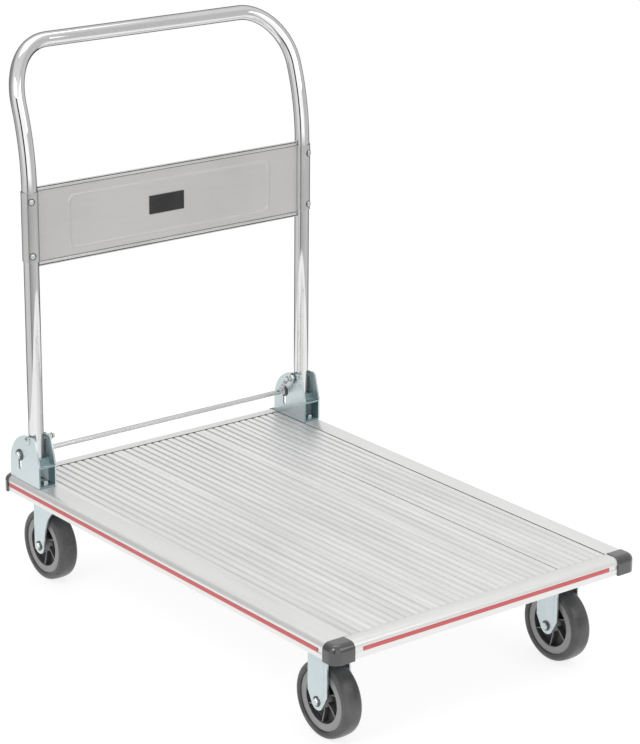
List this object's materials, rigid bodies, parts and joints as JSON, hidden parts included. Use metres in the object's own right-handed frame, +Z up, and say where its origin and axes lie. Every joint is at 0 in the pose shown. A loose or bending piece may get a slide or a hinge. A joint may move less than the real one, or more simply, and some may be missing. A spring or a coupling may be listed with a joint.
{
  "type": "folding platform cart",
  "caption": "Flat platform cart with a ribbed aluminium deck on two fixed and two swivel casters and a tubular push handle that folds down over the deck.",
  "frame": {"origin": "on the floor, under the middle of the cart's overall length and width", "axes": "+X is forward, the way the cart is pushed (the handle stands at -X), +Y is left, +Z is up"},
  "size_m": [0.9406, 0.61, 0.9436],
  "materials": {
    "deck_aluminium": "ribbed mill finish, satin",
    "rail_aluminium": "satin anodised",
    "beam_aluminium": "mill finish",
    "zinc_steel": "bright zinc plating",
    "plain_steel": "plain",
    "spring_steel": "bright wire",
    "chrome_tube": "polished chrome plating",
    "grey_sheet": "satin grey",
    "red_stripe": "satin",
    "charcoal_cap": "semi-gloss",
    "grey_rim": "satin moulded",
    "tread_rubber": "matt",
    "black_plate": "semi-gloss"
  },
  "bodies": {
    "deck": {"deck_plank_1": "deck_aluminium", "deck_plank_2": "deck_aluminium", "deck_plank_3": "deck_aluminium", "deck_plank_4": "deck_aluminium", "side_rail_right": "rail_aluminium", "side_stripe_right": "red_stripe", "side_rail_left": "rail_aluminium", "side_stripe_left": "red_stripe", "end_rail_rear": "rail_aluminium", "end_stripe_rear": "red_stripe", "corner_cap_rear_right": "charcoal_cap", "corner_cap_rear_left": "charcoal_cap", "end_rail_front": "rail_aluminium", "end_stripe_front": "red_stripe", "corner_cap_front_right": "charcoal_cap", "corner_cap_front_left": "charcoal_cap", "caster_beam_front": "beam_aluminium", "caster_beam_rear": "beam_aluminium", "middle_beam": "beam_aluminium", "hinge_bracket_right": "zinc_steel", "pivot_pin_right": "zinc_steel", "return_spring_right": "spring_steel", "front_right_caster_frame": "zinc_steel", "front_right_axle_bolt": "zinc_steel", "front_right_bushing": "plain_steel", "rear_right_swivel_plate": "zinc_steel", "rear_right_swivel_bearing": "plain_steel", "rear_right_kingpin": "plain_steel", "hinge_bracket_left": "zinc_steel", "pivot_pin_left": "zinc_steel", "return_spring_left": "spring_steel", "front_left_caster_frame": "zinc_steel", "front_left_axle_bolt": "zinc_steel", "front_left_bushing": "plain_steel", "rear_left_swivel_plate": "zinc_steel", "rear_left_swivel_bearing": "plain_steel", "rear_left_kingpin": "plain_steel"},
    "handle": {"handle_tube": "chrome_tube", "handle_end_plug_right": "zinc_steel", "handle_end_plug_left": "zinc_steel", "handle_panel": "grey_sheet", "label_plate": "black_plate"},
    "release": {"release_bar": "chrome_tube", "release_bar_nut_right": "zinc_steel", "release_bar_nut_left": "zinc_steel"},
    "rear_right_swivel": {"rear_right_swivel_fork": "zinc_steel", "rear_right_axle_bolt": "zinc_steel", "rear_right_bushing": "plain_steel"},
    "rear_left_swivel": {"rear_left_swivel_fork": "zinc_steel", "rear_left_axle_bolt": "zinc_steel", "rear_left_bushing": "plain_steel"},
    "front_right_wheel": {"front_right_rim": "grey_rim", "front_right_tyre": "tread_rubber"},
    "front_left_wheel": {"front_left_rim": "grey_rim", "front_left_tyre": "tread_rubber"},
    "rear_right_wheel": {"rear_right_rim": "grey_rim", "rear_right_tyre": "tread_rubber"},
    "rear_left_wheel": {"rear_left_rim": "grey_rim", "rear_left_tyre": "tread_rubber"}
  },
  "joints": [
    {"name": "handle_fold", "type": "hinge", "parent": "deck", "child": "handle", "pos_m": [-0.36875, 0, 0.2735], "axis": [0, 1, 0], "range_deg": [0, 90]},
    {"name": "release_bar_press", "type": "slide", "parent": "deck", "child": "release", "axis": [0, 0, -1], "range_m": [0, 0.022], "stiffness_N_per_m": 1500, "springref_m": -0.012, "deforming": ["return_spring_right", "return_spring_left"]},
    {"name": "rear_right_swivel_turn", "type": "hinge", "parent": "deck", "child": "rear_right_swivel", "pos_m": [-0.36975, -0.233, 0.15], "axis": [0, 0, 1], "continuous": true},
    {"name": "rear_right_wheel_spin", "type": "hinge", "parent": "rear_right_swivel", "child": "rear_right_wheel", "pos_m": [-0.40775, -0.233, 0.0625], "axis": [0, 1, 0], "continuous": true},
    {"name": "rear_left_swivel_turn", "type": "hinge", "parent": "deck", "child": "rear_left_swivel", "pos_m": [-0.36975, 0.233, 0.15], "axis": [0, 0, 1], "continuous": true},
    {"name": "rear_left_wheel_spin", "type": "hinge", "parent": "rear_left_swivel", "child": "rear_left_wheel", "pos_m": [-0.40775, 0.233, 0.0625], "axis": [0, 1, 0], "continuous": true},
    {"name": "front_right_wheel_spin", "type": "hinge", "parent": "deck", "child": "front_right_wheel", "pos_m": [0.36825, -0.233, 0.0625], "axis": [0, 1, 0], "continuous": true},
    {"name": "front_left_wheel_spin", "type": "hinge", "parent": "deck", "child": "front_left_wheel", "pos_m": [0.36825, 0.233, 0.0625], "axis": [0, 1, 0], "continuous": true}
  ]
}
